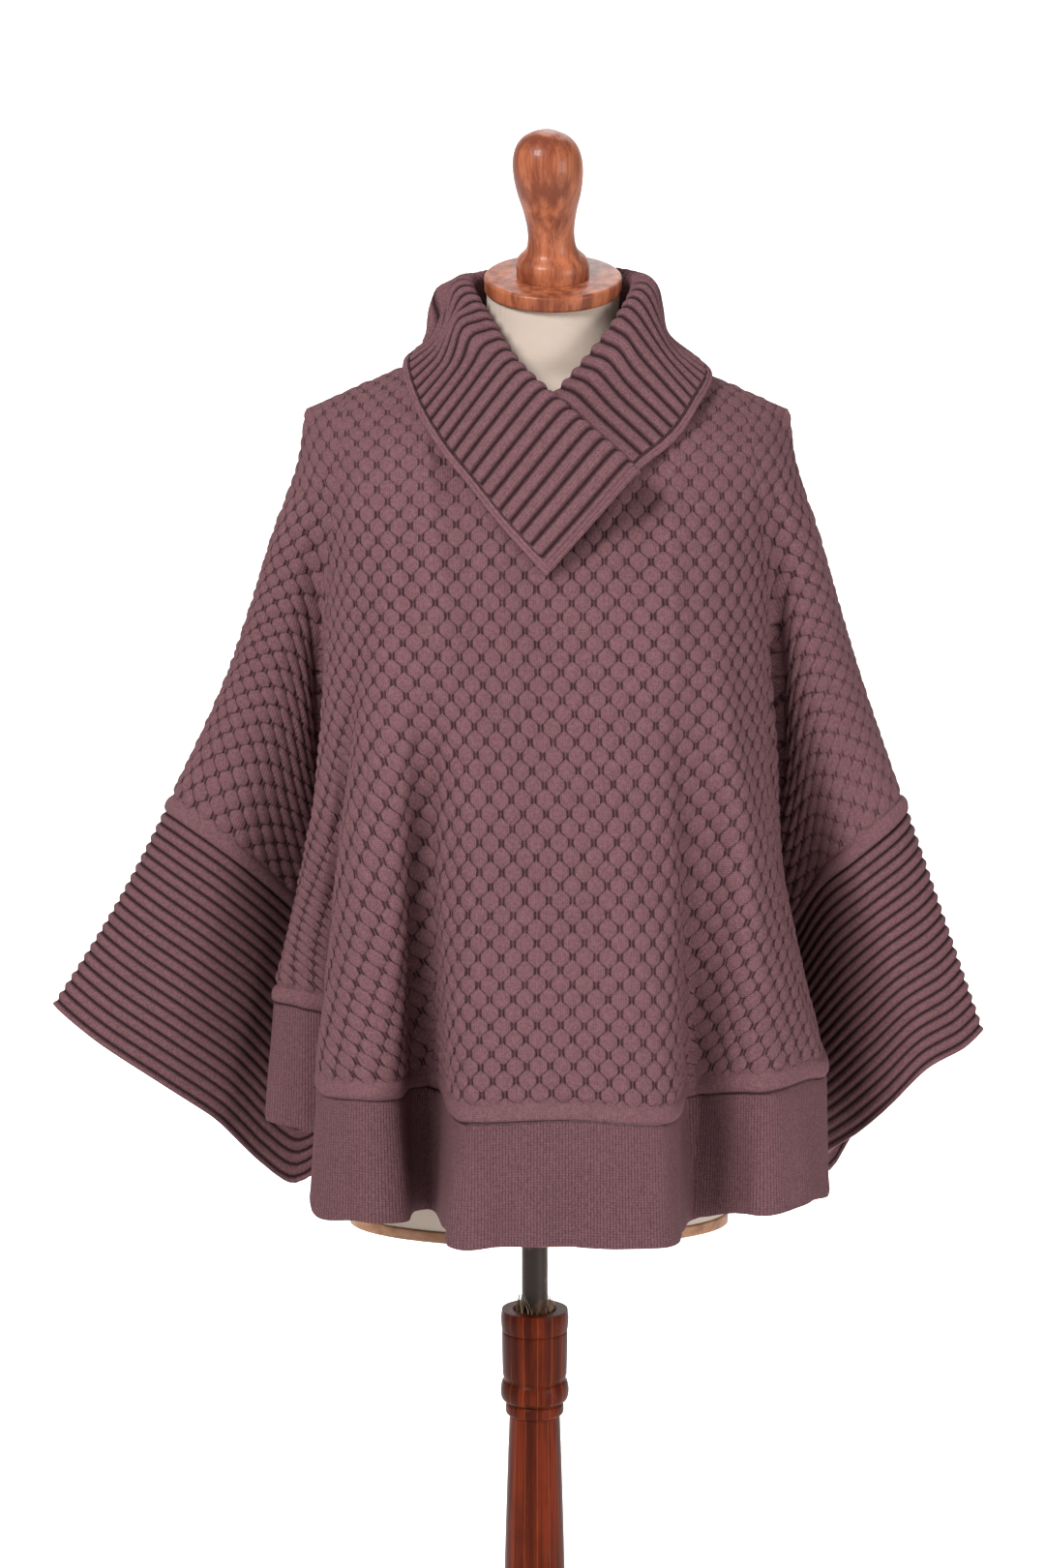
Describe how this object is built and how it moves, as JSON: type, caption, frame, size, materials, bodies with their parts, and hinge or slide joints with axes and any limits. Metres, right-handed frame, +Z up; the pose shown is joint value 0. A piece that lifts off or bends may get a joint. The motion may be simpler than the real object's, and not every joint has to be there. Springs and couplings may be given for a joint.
{
  "type": "knitted poncho sweater on a dress form",
  "caption": "Wide poncho sweater in bubble knit with ribbed shawl collar and cuffs, worn by a limbless dress form that stands on a turned wooden post and round foot.",
  "frame": {"origin": "middle of the foot's underside", "axes": "+Z up along the post, -Y the way the wearer faces, +X towards the wearer's left"},
  "size_m": [0.7591, 0.4442, 1.4914],
  "materials": {
    "bubble_knit": "matt knit, closed bubbles",
    "plain_knit": "matt knit, plain",
    "rib_knit": "matt knit, ribbed",
    "canvas": "matt woven canvas",
    "turned_wood": "satin varnish",
    "plywood": "bare, slightly stained",
    "stained_wood": "dark stain, gloss varnish",
    "dark_steel": "darkened, worn"
  },
  "bodies": {
    "root": {"front_panel": "bubble_knit", "back_panel": "bubble_knit", "front_hem_band": "plain_knit", "back_hem_band": "plain_knit", "right_cuff": "rib_knit", "left_cuff": "rib_knit", "collar": "rib_knit", "torso": "canvas", "neck_cap": "turned_wood", "neck_knob": "turned_wood", "base_board": "plywood", "pole": "dark_steel", "post": "stained_wood", "foot": "stained_wood"}
  },
  "joints": []
}
